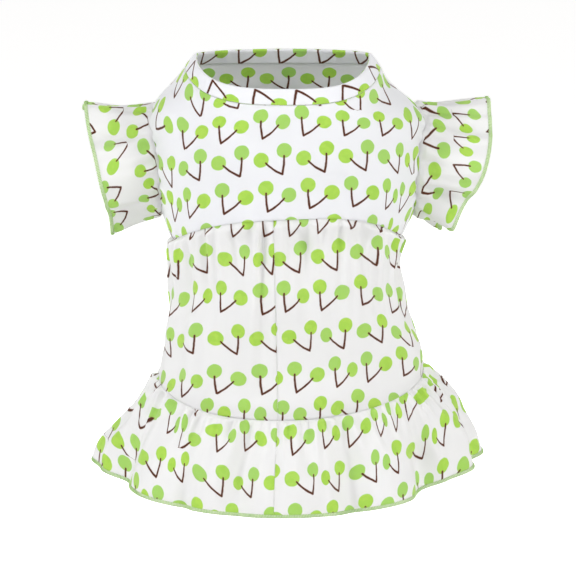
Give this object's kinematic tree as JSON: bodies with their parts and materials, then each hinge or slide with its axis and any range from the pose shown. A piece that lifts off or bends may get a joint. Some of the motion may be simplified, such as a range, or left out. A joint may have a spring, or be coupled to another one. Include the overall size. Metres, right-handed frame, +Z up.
{
  "type": "dog dress",
  "caption": "Short-sleeved gathered cotton dress for a small dog, with a neckband, yoke, flutter sleeves, skirt and hem flounce.",
  "frame": {"origin": "middle of the neck seam, at the level of its two sides", "axes": "+Z up through the neck, from hem to neck; -Y towards the dog's back, the side that shows the centre seam; +X towards the sleeve on the right of that side"},
  "size_m": [0.2443, 0.1547, 0.2652],
  "materials": {
    "lined_cotton": "matte",
    "gathered_cotton": "matte",
    "green_thread": "satin"
  },
  "bodies": {
    "root": {"neckband": "lined_cotton", "back_yoke": "lined_cotton", "chest_yoke": "lined_cotton", "sleeve_left": "gathered_cotton", "sleeve_right": "gathered_cotton", "cuff_edging_left": "green_thread", "cuff_edging_right": "green_thread", "skirt_left": "gathered_cotton", "skirt_right": "gathered_cotton", "flounce_left": "gathered_cotton", "flounce_right": "gathered_cotton", "hem_edging": "green_thread"}
  },
  "joints": []
}
